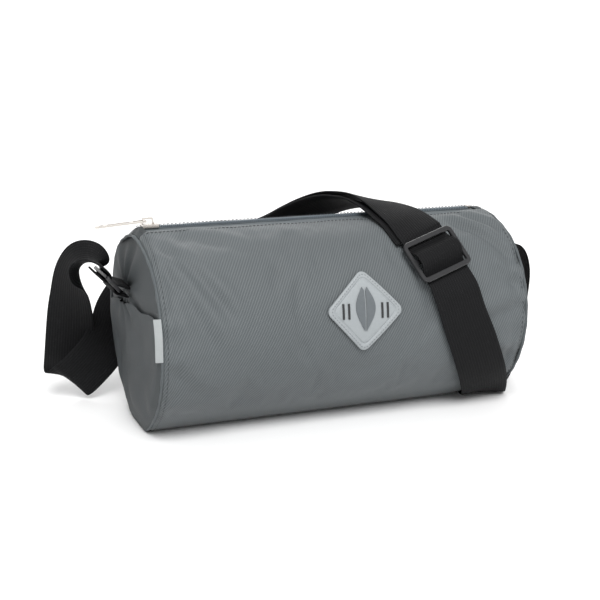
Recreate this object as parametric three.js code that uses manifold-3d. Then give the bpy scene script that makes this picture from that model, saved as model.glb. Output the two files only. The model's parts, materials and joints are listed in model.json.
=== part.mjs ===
// Small barrel shoulder bag: fabric barrel with a zip along the top, a rubber patch on
// the front and a black webbing strap that wraps over and under the body.
// Millimetres. X runs along the barrel (left end -X), -Y is the front, +Z is up.
// The origin is the centre of the flat base, on the surface the bag stands on.
import * as THREE from 'three';
import { mergeVertices } from 'three/addons/utils/BufferGeometryUtils.js';
import Module from 'manifold-3d';

// ---- driving sizes -------------------------------------------------------
const RADIUS = 75;            // barrel radius
const AXIS_Z = 75;            // height of the barrel axis
const END_X = 144;            // half-length of the main panel
const FABRIC = 1.6;           // main panel thickness
const GAP = 0.3;              // clearance between touching pieces
const BASE_HALF = 20;         // half-width of the flat base
const MOUTH_HALF = 12.2;      // half-width of the zip opening in the panel
const COIL_X = 133;           // half-length of the zip
const WEB_W = 38;             // strap webbing width
const WEB_T = 1.6;            // strap webbing thickness
const LAYER = 2.1;            // spacing of two strap layers
const SLIDER_X = -132.5;      // slider position with the zip closed
const PULL_Z = 154.1;         // height of the puller's pivot
const PULL_BACK = 3.6;        // pivot's distance behind the slider's middle
const PULL_TILT = 4;        // puller's rest angle below the horizontal, degrees
const PATCH_X = 7.5;          // patch centre along the barrel
const PATCH_ANGLE = 78;       // patch centre, degrees forward from the top
const PATCH_TURN = -2.3;      // patch rotation, degrees
const ANCHOR_Y = 15;          // strap rings, behind the barrel axis
const TAU = Math.PI * 2;
const rad = (d) => d * Math.PI / 180;

const COLOURS = {
  fabric: [0x5d6365, 0.85, 0], plain: [0x4b5052, 0.8, 0], lining: [0x2b2d2f, 0.9, 0],
  web: [0x17181a, 0.85, 0], plastic: [0x1b1c1e, 0.35, 0], metal: [0xb9b2ab, 0.3, 1],
  tape: [0x54595c, 0.85, 0], coil: [0x61676b, 0.5, 0], rubber: [0x8d9194, 0.6, 0],
  emblem: [0x5c6164, 0.6, 0], ink: [0x1a1b1c, 0.6, 0], label: [0x9fa3a3, 0.8, 0],
};
const smooth = (a, b, v) => {
  const t = Math.min(1, Math.max(0, (v - a) / (b - a)));
  return t * t * (3 - 2 * t);
};

// ---- mesh helpers --------------------------------------------------------
function node(group, name, geometry, look) {
  const [color, roughness, metalness] = COLOURS[look];
  const mesh = new THREE.Mesh(geometry, new THREE.MeshStandardMaterial({ color, roughness, metalness }));
  mesh.name = name;
  group.add(mesh);
  return mesh;
}

function meshFrom(points, faces) {
  const g = new THREE.BufferGeometry();
  g.setAttribute('position', new THREE.Float32BufferAttribute(points.flat(), 3));
  g.setIndex(faces.flat());
  g.computeVertexNormals();
  return g;
}

function volume(points, faces) {
  let v = 0;
  for (const [a, b, c] of faces) {
    const [p, q, r] = [points[a], points[b], points[c]];
    v += p[0] * (q[1] * r[2] - q[2] * r[1]) + p[1] * (q[2] * r[0] - q[0] * r[2])
      + p[2] * (q[0] * r[1] - q[1] * r[0]);
  }
  return v;
}

// Closed sheet between two point grids of the same size, with its rim filled in.
function sheet(nu, nv, top, bottom, loops = false) {
  const cols = loops ? nu : nu + 1;
  const points = [];
  for (const f of [top, bottom]) {
    for (let j = 0; j <= nv; j++) {
      for (let i = 0; i < cols; i++) points.push(f(i / nu, j / nv));
    }
  }
  const half = cols * (nv + 1);
  const at = (s, i, j) => s * half + j * cols + (i % cols);
  const faces = [];
  const quad = (a, b, c, d) => faces.push([a, b, c], [a, c, d]);
  for (let j = 0; j < nv; j++) {
    for (let i = 0; i < nu; i++) {
      quad(at(0, i, j), at(0, i + 1, j), at(0, i + 1, j + 1), at(0, i, j + 1));
      quad(at(1, i, j), at(1, i, j + 1), at(1, i + 1, j + 1), at(1, i + 1, j));
    }
    if (!loops) {
      quad(at(0, 0, j), at(0, 0, j + 1), at(1, 0, j + 1), at(1, 0, j));
      quad(at(0, nu, j), at(1, nu, j), at(1, nu, j + 1), at(0, nu, j + 1));
    }
  }
  for (let i = 0; i < nu; i++) {
    quad(at(0, i, 0), at(1, i, 0), at(1, i + 1, 0), at(0, i + 1, 0));
    quad(at(0, i, nv), at(0, i + 1, nv), at(1, i + 1, nv), at(1, i, nv));
  }
  if (volume(points, faces) < 0) faces.forEach((f) => f.reverse());
  return meshFrom(points, faces);
}

// Closed disc-like plate: concentric loops between a centre point and an outline.
function plate(n, rings, top, bottom) {
  const points = [];
  const faces = [];
  for (const f of [top, bottom]) {
    points.push(f(0, 0));
    for (let j = 1; j <= rings; j++) {
      for (let i = 0; i < n; i++) points.push(f(i / n, j / rings));
    }
  }
  const half = 1 + n * rings;
  const at = (s, i, j) => s * half + (j === 0 ? 0 : 1 + (j - 1) * n + (i % n));
  for (let i = 0; i < n; i++) {
    faces.push([at(0, 0, 0), at(0, i, 1), at(0, i + 1, 1)]);
    faces.push([at(1, 0, 0), at(1, i + 1, 1), at(1, i, 1)]);
    for (let j = 1; j < rings; j++) {
      faces.push([at(0, i, j), at(0, i, j + 1), at(0, i + 1, j + 1)]);
      faces.push([at(0, i, j), at(0, i + 1, j + 1), at(0, i + 1, j)]);
      faces.push([at(1, i, j), at(1, i + 1, j + 1), at(1, i, j + 1)]);
      faces.push([at(1, i, j), at(1, i + 1, j), at(1, i + 1, j + 1)]);
    }
    faces.push([at(0, i, rings), at(1, i, rings), at(1, i + 1, rings)]);
    faces.push([at(0, i, rings), at(1, i + 1, rings), at(0, i + 1, rings)]);
  }
  if (volume(points, faces) < 0) faces.forEach((f) => f.reverse());
  return meshFrom(points, faces);
}

// ---- barrel surface ------------------------------------------------------
// Height of the underside: it lifts at the right, where the strap passes below.
const floorAt = (x) => 4.7 * smooth(98, 120, x);

// Point on the barrel. angle is in degrees forward from the top, inset is inwards.
function barrel(x, angle, inset = 0) {
  const a = rad(angle);
  const near = Math.max(0, Math.abs(x) - 136) / 8;
  const folded = 1 - smooth(18, 58, Math.abs(((angle + 180) % 360 + 360) % 360 - 180));
  const r = RADIUS - inset - near * near * (0.8 + (x < 0 ? 5.2 : 2.2) * folded);
  const y = -r * Math.sin(a);
  const sag = 2.9 * (1 - smooth(BASE_HALF, 46, Math.abs(y)));
  const z = AXIS_Z + r * Math.cos(a);
  return [x, y, Math.cos(a) < 0 ? Math.max(floorAt(x) + inset, z - sag) : z];
}

const mouthAngle = Math.asin(MOUTH_HALF / RADIUS) * 180 / Math.PI;

// Sheet that follows the barrel over the stations xs and the angles a0 to a1.
function wrap(xs, a0, a1, outer, inner, nu, loops = false) {
  const nv = xs.length - 1;
  const f = (inset) => (u, v) => barrel(xs[Math.round(v * nv)], a0 + (a1 - a0) * u, inset);
  return sheet(nu, nv, f(outer), f(inner), loops);
}
const PANEL_XS = [-144, -142.2, -140, -137.5, -134, -90, -30, 40, 98, 105, 112, 120, 134, 137.5, 140,
  142.2, 144];
const between = (x0, x1, n) => Array.from({ length: n + 1 }, (_, i) => x0 + (x1 - x0) * i / n);

function buildBody(g) {
  node(g, 'main_panel', wrap(PANEL_XS, mouthAngle, 360 - mouthAngle, 0, FABRIC, 54), 'fabric');
  node(g, 'lining', wrap(PANEL_XS.slice(4, 13), 16, 344, FABRIC + 1.1, FABRIC + 1.8, 36), 'lining');
  for (const [side, s] of [['left', -1], ['right', 1]]) {
    const bulge = 3;
    const face = (off) => (u, v) => {
      const [, y, z] = barrel(s * END_X, u * 360, 0.2);
      return [s * (END_X + GAP + off + bulge * (1 - v * v)), y * v, AXIS_Z + (z - AXIS_Z) * v];
    };
    node(g, `end_panel_${side}`, plate(40, 5, face(1.4), face(0)), 'plain');
    const ring = wrap(between(s * 139.8, s * 143.4, 2), 0, 360, 3.6, 4.8, 36, true);
    node(g, `seam_binding_${side}`, ring, 'lining');
  }
  node(g, 'end_pocket_left', endPocket(), 'plain');
}

// Slip pocket on the left end: a sheet over the lower part of the end panel.
function endPocket() {
  const f = (off) => (u, v) => {
    const side = 1 - 2 * u;
    const rim = barrel(-END_X, 180 - side * 104, 1.2);
    const top = [0, -side * 68, 93 + 3 * (1 - side * side) + 3 * Math.max(0, side)];
    const y = top[1] + (rim[1] - top[1]) * v;
    const z = top[2] + (rim[2] - top[2]) * v;
    const q = Math.min(1, Math.hypot(y, z - AXIS_Z) / 73);
    return [-(END_X + GAP + 1.4 + 3 * (1 - q * q) + 0.5 + off), y, z];
  };
  return sheet(20, 8, f(0.9), f(0));
}

// ---- zip -----------------------------------------------------------------
function coilGeometry() {
  const s = new THREE.Shape();
  s.moveTo(-1.2, 0);
  s.lineTo(1.2, 0);
  s.lineTo(1.2, 0.8);
  s.absarc(0, 0.8, 1.2, 0, Math.PI, false);
  s.lineTo(-1.2, 0);
  const g = new THREE.ExtrudeGeometry(s, { depth: 2 * COIL_X - 9, bevelEnabled: false, curveSegments: 6 });
  g.rotateX(Math.PI / 2);
  g.rotateZ(Math.PI / 2);
  g.translate(-COIL_X + 6, 0, 0);
  return g;
}

function blockAt(dx, dy, dz, x, y, z) {
  const g = new THREE.BoxGeometry(dx, dy, dz);
  g.translate(x, y, z);
  return g;
}

function buildZip(g) {
  const base = AXIS_Z + RADIUS - FABRIC - GAP + 0.3;
  for (const [side, s] of [['front', 1], ['rear', -1]]) {
    const tape = wrap([-COIL_X, COIL_X], s * 0.72, s * 12.8, FABRIC + GAP, FABRIC + GAP + 0.9, 5);
    node(g, `zip_tape_${side}`, tape, 'tape');
    const coil = node(g, `zip_coil_${side}`, coilGeometry(), 'coil');
    coil.position.set(0, -s * 2.15, base);
  }
  const tab = (x0, x1) => wrap(between(x0, x1, 3), -8.9, 8.9, 0.1, 1.3, 6);
  node(g, 'zip_end_tab_left', tab(-143.6, -140.2), 'plain');
  node(g, 'zip_end_tab_right', tab(134.2, 143.6), 'plain');
  node(g, 'zip_stop_right', blockAt(2, 5.6, 2.2, 131.6, 0, base + 1.1), 'metal');
}

// Slider seen from the side: two plates joined by a narrow neck at the leading end.
function sliderProfile() {
  const s = new THREE.Shape();
  s.moveTo(-5.8, 0);
  s.lineTo(6, 0);
  s.lineTo(6.4, 1.1);
  s.lineTo(-2.6, 1.1);
  s.lineTo(-2.6, 5.2);
  s.lineTo(6.4, 5.2);
  s.lineTo(6, 6.4);
  s.lineTo(-5.8, 6.4);
  return s;
}

async function buildSlider(g) {
  const low = 145.5;
  const width = 9;
  const join = await solids();
  const body = new THREE.ExtrudeGeometry(sliderProfile(), { depth: 1.1, bevelEnabled: false });
  body.rotateX(Math.PI / 2);
  body.translate(0, 0.55, low);
  const parts = [body];
  parts.push(blockAt(12, width, 1.1, 0.2, 0, low + 0.55));
  parts.push(blockAt(12, width, 1.2, 0.2, 0, low + 5.8));
  for (const s of [1, -1]) parts.push(blockAt(12, 0.8, 2.0, 0.2, s * (width / 2 - 0.4), low + 4.9));
  parts.push(bridgeGeometry(low + 6.3));
  const geometry = join(parts);
  const slider = node(g, 'slider_body', geometry, 'metal');
  slider.position.set(SLIDER_X, 0, 0);
}

// Bridge that holds the puller: an arch over the pivot, wide enough for its bar.
function bridgeGeometry(z0) {
  const s = new THREE.Shape();
  s.moveTo(-5.7, 0);
  s.lineTo(-4.9, 0);
  s.lineTo(-4.9, 3.6);
  s.lineTo(1.6, 3.6);
  s.lineTo(2.4, 0);
  s.lineTo(3.4, 0);
  s.lineTo(2.4, 4.8);
  s.lineTo(-5.2, 4.8);
  const g = new THREE.ExtrudeGeometry(s, { depth: 2.2, bevelEnabled: false });
  g.rotateX(Math.PI / 2);
  g.translate(0, 1.1, z0);
  return g;
}

async function solids() {
  const wasm = await Module();
  wasm.setup();
  const toSolid = (geometry) => {
    const bare = new THREE.BufferGeometry();
    bare.setAttribute('position', (geometry.index ? geometry.toNonIndexed() : geometry).attributes.position);
    const merged = mergeVertices(bare, 1e-4);
    return new wasm.Manifold(new wasm.Mesh({
      numProp: 3,
      vertProperties: merged.attributes.position.array,
      triVerts: new Uint32Array(merged.index.array),
    }));
  };
  return (parts) => {
    const mesh = parts.map(toSolid).reduce((a, b) => a.add(b)).getMesh();
    const whole = new THREE.BufferGeometry();
    whole.setAttribute('position', new THREE.BufferAttribute(new Float32Array(mesh.vertProperties), 3));
    whole.setIndex(Array.from(mesh.triVerts));
    const g = mergeVertices(whole, 5e-3);
    const kept = [];
    for (let i = 0; i < g.index.count; i += 3) {
      const [a, b, c] = [0, 1, 2].map((k) => g.index.getX(i + k));
      if (a !== b && b !== c && c !== a) kept.push(a, b, c);
    }
    g.setIndex(kept);
    return g;
  };
}

function roundedRect(path, w, h, r) {
  path.moveTo(-w / 2 + r, -h / 2);
  path.lineTo(w / 2 - r, -h / 2);
  path.absarc(w / 2 - r, -h / 2 + r, r, -Math.PI / 2, 0, false);
  path.lineTo(w / 2, h / 2 - r);
  path.absarc(w / 2 - r, h / 2 - r, r, 0, Math.PI / 2, false);
  path.lineTo(-w / 2 + r, h / 2);
  path.absarc(-w / 2 + r, h / 2 - r, r, Math.PI / 2, Math.PI, false);
  path.lineTo(-w / 2, -h / 2 + r);
  path.absarc(-w / 2 + r, -h / 2 + r, r, Math.PI, 1.5 * Math.PI, false);
  return path;
}

function hole(w, h, r, x, y) {
  const p = roundedRect(new THREE.Path(), w, h, r);
  const pts = p.getPoints(5).map((q) => new THREE.Vector2(q.x + x, q.y + y));
  return new THREE.Path(pts);
}

// Puller: a long flat bar with an eye for the slider bridge, a slot and an end hole.
function buildPuller(g) {
  const length = 37;
  const s = new THREE.Shape();
  s.moveTo(0.9, -3.6);
  s.lineTo(0.9, 3.6);
  s.lineTo(-9.5, 3.4);
  s.lineTo(-length + 4, 3.0);
  s.absarc(-length + 3.2, 0, 3.1, rad(75), rad(285), false);
  s.lineTo(-9.5, -3.4);
  s.holes.push(hole(7.6, 3.6, 0.5, -4.7, 0));
  s.holes.push(hole(17, 2.2, 1.0, -19, 0));
  s.holes.push(hole(3.4, 3.0, 1.3, -32, 0));
  const geometry = new THREE.ExtrudeGeometry(s, { depth: 1.2, bevelEnabled: false, curveSegments: 6 });
  geometry.translate(0, 0, -0.6);
  const puller = node(g, 'zip_puller', geometry, 'metal');
  puller.rotation.set(0, -rad(PULL_TILT), 0);
  puller.position.set(SLIDER_X - PULL_BACK, 0, PULL_Z);
}

// ---- patch and label -----------------------------------------------------
// Local patch coordinates (right, up) to a point standing off the barrel.
function onFront(right, up, off) {
  const t = rad(PATCH_TURN);
  const px = right * Math.cos(t) - up * Math.sin(t);
  const py = right * Math.sin(t) + up * Math.cos(t);
  return barrel(PATCH_X + px, PATCH_ANGLE - py / RADIUS * 180 / Math.PI, -off);
}

function diamond(u) {
  const half = 22;
  const corner = 5;
  const side = Math.floor(u * 4) % 4;
  const t = u * 4 - Math.floor(u * 4);
  const flat = half - corner;
  const arc = Math.PI / 2 * corner;
  const d = t * (2 * flat + arc);
  let [x, y] = [half, -flat + d];
  if (d > 2 * flat) {
    const a = (d - 2 * flat) / corner;
    [x, y] = [flat + corner * Math.cos(a), flat + corner * Math.sin(a)];
  }
  const turn = side * Math.PI / 2 + Math.PI / 4;
  return [x * Math.cos(turn) - y * Math.sin(turn), x * Math.sin(turn) + y * Math.cos(turn)];
}

function buildPatch(g) {
  const steps = [0, 0.2, 0.4, 0.6, 0.78, 0.8, 0.84, 0.86, 0.96, 1];
  const lift = [1.3, 1.3, 1.3, 1.3, 1.3, 0.9, 0.9, 1.6, 1.6, 1.2];
  const f = (level) => (u, v) => {
    const k = Math.round(v * (steps.length - 1));
    const [x, y] = diamond(u);
    return onFront(x * steps[k], y * steps[k], 0.4 + (level === null ? lift[k] : level));
  };
  node(g, 'patch_plate', plate(32, steps.length - 1, f(null), f(0)), 'rubber');
  const bars = [-17.6, -13.2, 13.2, 17.6];
  bars.forEach((x, i) => {
    const bar = (off) => (u, v) => onFront(x - 0.8 + 1.6 * u, -5.5 + 11 * v, off);
    node(g, `patch_bar_${i + 1}`, sheet(1, 4, bar(2.5), bar(2.1)), 'ink');
  });
  for (const [side, s] of [['left', -1], ['right', 1]]) {
    const leaf = (off) => (u, v) => {
      const w = 0.6 + 6.6 * Math.sin(Math.PI * (0.06 + 0.88 * v)) ** 1.2;
      return onFront(s * (0.5 + w * u), -14.5 + 29 * v + 2.5 * u, off);
    };
    node(g, `patch_leaf_${side}`, sheet(3, 14, leaf(2.6), leaf(2.1)), 'emblem');
  }
}

function buildLabel(g) {
  const f = (off) => (u, v) => {
    const a = rad(96 - 24 * v);
    return [-144.5 - 5.6 * u, -(74.5 + off) * Math.sin(a), AXIS_Z + (74.5 + off) * Math.cos(a)];
  };
  node(g, 'side_label', sheet(1, 5, f(1.2), f(0)), 'label');
}

// ---- strap ---------------------------------------------------------------
// Hand-chosen stations: centre x, y, z, then the direction of the webbing's width.
const LOOP = [
  [-166, 15, 119.6, 0, -1, 0],
  [-171, 15, 124, 0, -1, 0],
  [-177, 15, 125, 0, -1, 0],
  [-182.6, 15.6, 121.6, 0.02, -1, 0],
  [-186, 18, 114, 0.12, -0.98, -0.06],
  [-187.2, 24, 104, 0.3, -0.9, -0.2],
  [-187.4, 34, 93.6, 0.48, -0.78, -0.34],
  [-187, 46, 83.4, 0.62, -0.64, -0.42],
  [-185.8, 59, 73, 0.74, -0.52, -0.4],
  [-186, 74, 62, 0.84, -0.38, -0.34],
  [-184.6, 86.6, 50, 0.93, -0.24, -0.2],
  [-181, 93.6, 37, 0.97, -0.1, 0],
  [-181, 92, 24.6, 0.92, -0.06, -0.3],
  [-180.6, 82, 18.6, 0.8, -0.04, -0.6],
  [-177, 72, 20, 0.72, -0.02, -0.69],
  [-166, 69, 29, 0.68, 0, -0.73],
  [-154.6, 70, 40, 0.68, -0.05, -0.73],
  [-144.4, 74.4, 54, 0.74, -0.08, -0.66],
  [-136.6, 82.4, 68, 0.8, -0.12, -0.55],
  [-124, 97, 80, 0.7, 0, -0.7],
  [-96, 101, 90, 0.55, 0.1, -0.83],
  [-60, 96, 102, 0.52, 0.3, -0.8],
  [-16, 68, 127, 0.55, 0.42, -0.72],
  [0.6, 58, 138.5, 0.56, 0.48, -0.68],
  [11.6, 50.2, 146.6, 0.58, 0.54, -0.62],
  [23.8, 42, 153.3, 0.62, 0.58, -0.53],
  [35.4, 32, 157.5, 0.68, 0.6, -0.4],
  [45.5, 18, 159.2, 0.76, 0.57, -0.28],
  [52.5, 1.7, 158, 0.85, 0.51, -0.12],
  [57, -15, 154.6, 0.9, 0.43, 0.03],
  [60, -32, 150, 0.92, 0.35, 0.15],
];
const DOWN = [
  [81, -79, 97, 0.9, 0.08, 0.42],
  [88, -79, 78, 0.87, 0.02, 0.49],
  [96, -77.4, 60.5, 0.86, -0.1, 0.5],
  [105, -72, 42.8, 0.84, -0.2, 0.5],
  [115, -62, 26.3, 0.84, -0.3, 0.44],
  [125, -47.2, 12.2, 0.9, -0.28, 0.3],
  [133, -30, 2.6, 0.95, -0.3, 0],
  [141, -13, 1.2, 0.9, -0.4, 0],
  [152, 3, 1.2, 0.75, -0.66, 0],
  [163, 11, 2.8, 0.55, -0.83, 0],
  [172, 14, 12, 0.3, -0.95, 0],
  [178, 14, 34, 0.14, -0.99, 0],
  [184, 12, 60, 0.06, -1, 0],
  [188, 11.5, 88, 0, -1, 0],
  [187, 14, 104, 0, -1, 0],
  [182.5, 15, 113, 0, -1, 0],
  [176, 15, 115.5, 0, -1, 0],
];
// Tri-glide frame: centre, direction along the strap and across it.
const GLIDE = {
  at: new THREE.Vector3(70.6, -63.8, 126.5),
  along: new THREE.Vector3(0.319, -0.566, -0.761).normalize(),
};
GLIDE.across = new THREE.Vector3(0.93, 0.2, 0.3);
GLIDE.across.addScaledVector(GLIDE.along, -GLIDE.across.dot(GLIDE.along)).normalize();
GLIDE.out = new THREE.Vector3().crossVectors(GLIDE.along, GLIDE.across).normalize();

// Heights over the tri-glide's plane, by distance along the strap: of the strap that passes over the
// centre bar, and of the return layer's end that is sewn round it.
const THREADED = [[-24, -3.6], [-19.5, -3.1], [-15.5, -2.95], [-12.6, -2.9], [-9, -0.6], [-5.6, 3.2], [-2.4, 5.0],
  [2.4, 5.0], [5.6, 3.2], [9, -0.6], [12.6, -2.9], [17, -2.95], [21.5, -2.6]];
const SEWN = [[-19.5, -5.3], [-15.5, -5.1], [-12.6, -4.9], [-9, -3.6], [-6.2, -1.9], [-4.7, 0], [-4.1, 1.5],
  [-2.2, 2.75], [1.6, 2.9]];

// Ring geometry at each end: inner bar in the tab, outer bar in the strap.
const RINGS = {
  left: { inner: [-157.5, 105], out: [-0.65, 0.76], turn: -1 },
  right: { inner: [157.5, 102], out: [0.85, 0.53], turn: 1 },
};
const BAR_SPAN = 12.8;
const STEPS = 2;              // catmull steps between stations
const RETURN_FROM = 21;       // station of LOOP where the return layer starts
const BEND = 3.2;             // centre-line radius of the strap round a ring bar

function onGlide(s, h) {
  return GLIDE.at.clone().addScaledVector(GLIDE.along, s).addScaledVector(GLIDE.out, h);
}

function catmull(points, steps) {
  const out = [];
  const mix = (a, b, c, d, t) => 0.5 * (2 * b + (c - a) * t + (2 * a - 5 * b + 4 * c - d) * t * t
    + (3 * b - a - 3 * c + d) * t * t * t);
  for (let i = 0; i < points.length - 1; i++) {
    const p = [i - 1, i, i + 1, i + 2].map((k) => points[Math.min(points.length - 1, Math.max(0, k))]);
    for (let k = 0; k < steps; k++) {
      out.push(p[1].map((_, j) => mix(p[0][j], p[1][j], p[2][j], p[3][j], k / steps)));
    }
  }
  out.push(points[points.length - 1]);
  return out;
}

// Adds travel, width and normal directions to a list of [x, y, z, wx, wy, wz].
function framed(list) {
  return list.map((p, i) => {
    const c = new THREE.Vector3(...p.slice(0, 3));
    const before = list[Math.max(0, i - 1)];
    const after = list[Math.min(list.length - 1, i + 1)];
    const t = new THREE.Vector3(after[0] - before[0], after[1] - before[1], after[2] - before[2]);
    t.normalize();
    const w = new THREE.Vector3(...p.slice(3, 6));
    w.addScaledVector(t, -w.dot(t)).normalize();
    return { c, w, n: new THREE.Vector3().crossVectors(t, w).normalize() };
  });
}

// Points of the strap bent round a ring bar that lies along Y.
function ringBend(side, from, to, count) {
  const ring = RINGS[side];
  const [ix, iz] = ring.inner;
  const cx = ix + ring.out[0] * BAR_SPAN;
  const cz = iz + ring.out[1] * BAR_SPAN;
  const base = Math.atan2(ring.out[1], ring.out[0]);
  const list = [];
  for (let k = 0; k <= count; k++) {
    const a = base + rad(from + (to - from) * k / Math.max(1, count));
    list.push([cx + BEND * Math.cos(a), ANCHOR_Y, cz + BEND * Math.sin(a), 0, -1, 0]);
  }
  return list;
}

// The two lengths of the strap, as station frames. The long one runs from the left ring over the
// bag, through the tri-glide and down to the right ring. The return layer lies under it from behind
// the bag to the tri-glide's centre bar.
function strapFrames() {
  const w = GLIDE.across.toArray();
  const threaded = THREADED.map(([s, h]) => [...onGlide(s, h).toArray(), ...w]);
  const leftBend = ringBend('left', 90, 270, 5);
  const rightBend = ringBend('right', 90, 270, 5);
  const middle = catmull([leftBend[5], ...LOOP, ...threaded, ...DOWN, rightBend[0]], STEPS);
  const beyond = (p, [dx, dz], d) => [p[0] + d * dx, p[1], p[2] + d * dz, ...p.slice(3)];
  const leftEnd = beyond(leftBend[0], RINGS.left.out, 3);
  const rightEnd = beyond(rightBend[5], RINGS.right.out, 3);
  const main = framed([leftEnd, ...leftBend.slice(0, 5), ...middle, ...rightBend.slice(1), rightEnd]);
  const first = 6 + STEPS * RETURN_FROM;
  const last = 6 + STEPS * (LOOP.length + 1);
  const below = main.slice(first, last + 1)
    .map((f) => ({ ...f, c: f.c.clone().addScaledVector(f.n, -LAYER) }));
  const sewn = framed(SEWN.map(([s, h]) => [...onGlide(s, h).toArray(), ...w]));
  return { main, back: [...below, ...sewn] };
}

// Rectangular webbing section swept along the frames, as one closed body.
function ribbon(frames, width) {
  const points = [];
  const faces = [];
  frames.forEach((f, i) => {
    for (const [a, b] of [[-1, -1], [1, -1], [1, 1], [-1, 1]]) {
      points.push(f.c.clone().addScaledVector(f.w, a * width / 2)
        .addScaledVector(f.n, b * WEB_T / 2).toArray());
    }
    if (i > 0) {
      for (let k = 0; k < 4; k++) {
        const [p, q] = [4 * (i - 1) + k, 4 * (i - 1) + (k + 1) % 4];
        faces.push([p, q, q + 4], [p, q + 4, p + 4]);
      }
    }
  });
  const e = points.length - 4;
  faces.push([0, 2, 1], [0, 3, 2], [e, e + 1, e + 2], [e, e + 2, e + 3]);
  if (volume(points, faces) < 0) faces.forEach((f) => f.reverse());
  return meshFrom(points, faces);
}

function buildStrap(g) {
  const { main, back } = strapFrames();
  node(g, 'shoulder_strap', ribbon(main, WEB_W), 'web');
  node(g, 'strap_return_layer', ribbon(back, WEB_W - 1), 'web');
  const s = roundedRect(new THREE.Shape(), 46, 34.4, 5);
  for (const y of [-7.6, 7.6]) s.holes.push(hole(39.6, 11.2, 1.2, 0, y));
  const geometry = new THREE.ExtrudeGeometry(s, {
    depth: 2.2, bevelThickness: 0.4, bevelSize: 0.4, bevelOffset: -0.4, bevelSegments: 1, curveSegments: 3,
  });
  geometry.translate(0, 0, -1.1);
  const frame = new THREE.Matrix4().makeBasis(GLIDE.across, GLIDE.along.clone().negate(), GLIDE.out);
  frame.setPosition(GLIDE.at);
  geometry.applyMatrix4(frame);
  node(g, 'tri_glide', geometry, 'plastic');
}

// ---- rings and the tabs that hold them -----------------------------------
function tabProfile(ring, reach) {
  const [ix, iz] = ring.inner;
  const s = ring.turn;
  const foot = [s * reach, iz - 3.2];
  const dir = new THREE.Vector2(ix - foot[0], iz - foot[1]).normalize();
  const side = new THREE.Vector2(-dir.y, dir.x);
  const at = (p, d, o) => new THREE.Vector2(p[0] + dir.x * d + side.x * o, p[1] + dir.y * d + side.y * o);
  const base = Math.atan2(dir.y, dir.x);
  const arc = (r, a0, a1) => {
    const list = [];
    for (let k = 0; k <= 8; k++) {
      const a = base + rad(a0 + (a1 - a0) * k / 8);
      list.push(new THREE.Vector2(ix + r * Math.cos(a), iz + r * Math.sin(a)));
    }
    return list;
  };
  return new THREE.Shape([at(foot, 0, 4.0), ...arc(4.0, 90, -90), at(foot, 0, -4.0),
    at(foot, 0, -2.5), ...arc(2.5, -90, 90), at(foot, 0, 2.5)]);
}

function buildAnchors(g) {
  for (const side of ['left', 'right']) {
    const ring = RINGS[side];
    const [ix, iz] = ring.inner;
    const s = roundedRect(new THREE.Shape(), BAR_SPAN + 3, 46, 3.5);
    s.holes.push(hole(BAR_SPAN - 3, 40, 1.5, 0, 0));
    const geometry = new THREE.ExtrudeGeometry(s, {
      depth: 1.8, bevelThickness: 0.4, bevelSize: 0.4, bevelOffset: -0.4, bevelSegments: 1, curveSegments: 3,
    });
    geometry.translate(0, 0, -0.9);
    geometry.rotateY(-Math.atan2(ring.out[1], ring.out[0]));
    const mesh = node(g, `strap_ring_${side}`, geometry, 'plastic');
    mesh.position.set(ix + ring.out[0] * BAR_SPAN / 2, ANCHOR_Y, iz + ring.out[1] * BAR_SPAN / 2);
    const tab = new THREE.ExtrudeGeometry(tabProfile(ring, 150.4), { depth: 36, bevelEnabled: false });
    tab.rotateX(Math.PI / 2);
    tab.translate(0, ANCHOR_Y + 18, 0);
    node(g, `anchor_tab_${side}`, tab, 'web');
  }
}

const bag = new THREE.Group();
buildBody(bag);
buildZip(bag);
await buildSlider(bag);
buildPuller(bag);
buildPatch(bag);
buildLabel(bag);
buildStrap(bag);
buildAnchors(bag);
export default bag;
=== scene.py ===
import json
import math
import bpy
import numpy as np
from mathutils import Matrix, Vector, noise

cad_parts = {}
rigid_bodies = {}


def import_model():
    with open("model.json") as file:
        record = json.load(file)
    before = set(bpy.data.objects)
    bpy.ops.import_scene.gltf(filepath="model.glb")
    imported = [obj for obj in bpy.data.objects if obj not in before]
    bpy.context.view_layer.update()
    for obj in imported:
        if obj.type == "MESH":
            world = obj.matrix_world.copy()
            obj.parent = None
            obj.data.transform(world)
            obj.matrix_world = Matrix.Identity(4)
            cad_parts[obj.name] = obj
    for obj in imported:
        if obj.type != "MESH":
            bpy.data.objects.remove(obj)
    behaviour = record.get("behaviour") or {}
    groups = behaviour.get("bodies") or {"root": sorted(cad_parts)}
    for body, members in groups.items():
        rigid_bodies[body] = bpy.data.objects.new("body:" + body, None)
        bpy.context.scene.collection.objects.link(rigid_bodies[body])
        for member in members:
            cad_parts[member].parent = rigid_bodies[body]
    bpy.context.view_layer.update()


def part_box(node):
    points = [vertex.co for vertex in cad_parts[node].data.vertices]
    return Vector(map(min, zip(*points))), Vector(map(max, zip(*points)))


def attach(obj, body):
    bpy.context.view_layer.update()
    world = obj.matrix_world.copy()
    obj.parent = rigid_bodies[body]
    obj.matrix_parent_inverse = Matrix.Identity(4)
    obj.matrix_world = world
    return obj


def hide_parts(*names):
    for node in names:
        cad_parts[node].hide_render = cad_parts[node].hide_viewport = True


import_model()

# Sizes are in metres unless a comment says otherwise. Angles round the barrel are in degrees,
# measured forwards from the top.
RADIUS = 0.075
AXIS_HEIGHT = 0.075
END_X = 0.144             # half the length between the end seams
MOUTH_ANGLE = 9.36        # half the angle that the zip's mouth takes up
MM_PER_DEGREE = 1.31      # arc length on the barrel
PATCH_X = 0.0075
PATCH_ANGLE = 78
PATCH_TURN = math.radians(-2.3)
PUSH_IN, PUSH_OUT = -0.003, 0.0011    # how far the simulated cloth may move along the barrel's normal
SLIP_LIMIT = 0.0015       # how far it may move along the surface
DEEPEST_CREASE = -0.0034  # keeps the fabric outside the lining
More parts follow.
